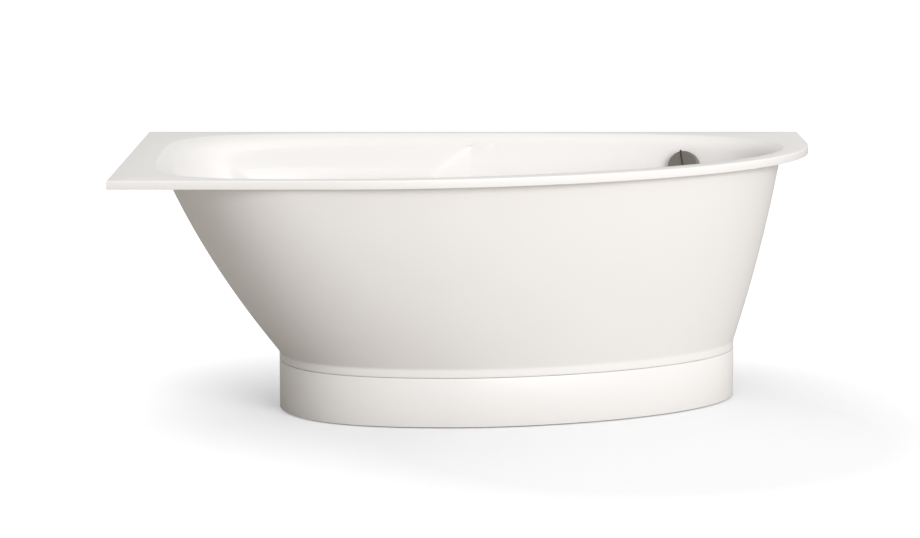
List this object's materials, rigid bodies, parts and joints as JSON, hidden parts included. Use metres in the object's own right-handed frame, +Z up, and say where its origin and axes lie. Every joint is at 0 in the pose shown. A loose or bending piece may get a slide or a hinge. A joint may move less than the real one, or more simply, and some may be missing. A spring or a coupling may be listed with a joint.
{
  "type": "corner bathtub",
  "caption": "Asymmetric corner bathtub with a one-piece curved apron, separate plinth, armrests, adjustable feet and a knob-operated pop-up waste with overflow and trap.",
  "frame": {"origin": "centre of the footprint rectangle, on the floor", "axes": "+X along the back wall towards the narrow end, +Y towards the back wall, +Z up"},
  "size_m": [1.595, 0.95, 0.59],
  "materials": {
    "bath_acrylic": "gloss",
    "panel_acrylic": "satin",
    "board": "matte",
    "zinc_steel": "satin",
    "fixings": "satin",
    "foot_plastic": "matte",
    "chrome": "polished",
    "seals": "matte",
    "fitting_plastic": "satin",
    "pipe_plastic": "satin",
    "hose_plastic": "satin",
    "lever_plastic": "satin",
    "steel": "satin",
    "knob_metal": "satin",
    "black_steel": "matte",
    "cable_sheath": "satin",
    "brass": "satin"
  },
  "bodies": {
    "bath": {"basin": "bath_acrylic", "apron": "panel_acrylic", "plinth": "panel_acrylic", "base_board": "board", "leg_rail_left": "zinc_steel", "leg_rail_right": "zinc_steel", "apron_brackets": "zinc_steel", "plinth_clips": "zinc_steel", "wall_hooks": "zinc_steel", "rail_screws": "fixings", "bracket_screws": "fixings", "weld_nuts": "fixings", "lock_nuts": "fixings", "waste_flange": "chrome", "overflow_plate": "chrome", "flange_gasket": "seals", "body_gasket": "seals", "overflow_gasket": "seals", "waste_body": "fitting_plastic", "dip_tube": "fitting_plastic", "trap_nut": "fitting_plastic", "trap_bowl": "fitting_plastic", "trap_cap": "fitting_plastic", "outlet_nut": "fitting_plastic", "hose_nuts": "fitting_plastic", "overflow_body": "fitting_plastic", "outlet_pipe": "pipe_plastic", "overflow_hose": "hose_plastic", "lever_pin": "steel", "control_cable": "cable_sheath", "cable_nuts": "brass"},
    "plug": {"waste_plug": "chrome", "plug_seal": "seals"},
    "lever": {"lift_lever": "lever_plastic"},
    "knob": {"overflow_knob": "knob_metal", "knob_spindle": "steel", "knob_screw": "black_steel"},
    "pad_front_left": {"foot_pad_front_left": "foot_plastic"},
    "stud_front_left": {"foot_stud_front_left": "fixings"},
    "pad_back_left": {"foot_pad_back_left": "foot_plastic"},
    "stud_back_left": {"foot_stud_back_left": "fixings"},
    "pad_front_right": {"foot_pad_front_right": "foot_plastic"},
    "stud_front_right": {"foot_stud_front_right": "fixings"},
    "pad_back_right": {"foot_pad_back_right": "foot_plastic"},
    "stud_back_right": {"foot_stud_back_right": "fixings"}
  },
  "joints": [
    {"name": "knob_turn", "type": "hinge", "parent": "bath", "child": "knob", "pos_m": [0.51492, 0.35568, 0.516], "axis": [-0.3071, -0.9263, 0.2185], "range_deg": [0, 90]},
    {"name": "plug_rise", "type": "slide", "parent": "bath", "child": "plug", "axis": [0, 0, 1], "range_m": [0, 0.0085]},
    {"name": "lever_swing", "type": "hinge", "parent": "bath", "child": "lever", "pos_m": [0.38371, 0.09187, 0.118], "axis": [-0.342, -0.9397, 0], "range_deg": [0, 24.54]},
    {"name": "foot_height_front_left", "type": "slide", "parent": "bath", "child": "pad_front_left", "axis": [0, 0, -1], "range_m": [-0.002, 0.02]},
    {"name": "stud_turn_front_left", "type": "hinge", "parent": "pad_front_left", "child": "stud_front_left", "pos_m": [-0.2975, -0.12075, 0.08], "axis": [0, 0, -1], "range_deg": [-412, 4115]},
    {"name": "foot_height_back_left", "type": "slide", "parent": "bath", "child": "pad_back_left", "axis": [0, 0, -1], "range_m": [-0.002, 0.02]},
    {"name": "stud_turn_back_left", "type": "hinge", "parent": "pad_back_left", "child": "stud_back_left", "pos_m": [-0.2975, 0.23095, 0.08], "axis": [0, 0, -1], "range_deg": [-412, 4115]},
    {"name": "foot_height_front_right", "type": "slide", "parent": "bath", "child": "pad_front_right", "axis": [0, 0, -1], "range_m": [-0.002, 0.02]},
    {"name": "stud_turn_front_right", "type": "hinge", "parent": "pad_front_right", "child": "stud_front_right", "pos_m": [0.4725, -0.00675, 0.08], "axis": [0, 0, -1], "range_deg": [-412, 4115]},
    {"name": "foot_height_back_right", "type": "slide", "parent": "bath", "child": "pad_back_right", "axis": [0, 0, -1], "range_m": [-0.002, 0.02]},
    {"name": "stud_turn_back_right", "type": "hinge", "parent": "pad_back_right", "child": "stud_back_right", "pos_m": [0.4725, 0.23095, 0.08], "axis": [0, 0, -1], "range_deg": [-412, 4115]}
  ],
  "couplings": [
    {"joint": "knob_turn", "follows": "plug_rise", "rad_per_m": 184.79},
    {"joint": "lever_swing", "follows": "plug_rise", "rad_per_m": 50.38},
    {"joint": "stud_turn_front_left", "follows": "foot_height_front_left", "rad_per_m": 3590.4},
    {"joint": "stud_turn_back_left", "follows": "foot_height_back_left", "rad_per_m": 3590.4},
    {"joint": "stud_turn_front_right", "follows": "foot_height_front_right", "rad_per_m": 3590.4},
    {"joint": "stud_turn_back_right", "follows": "foot_height_back_right", "rad_per_m": 3590.4}
  ]
}
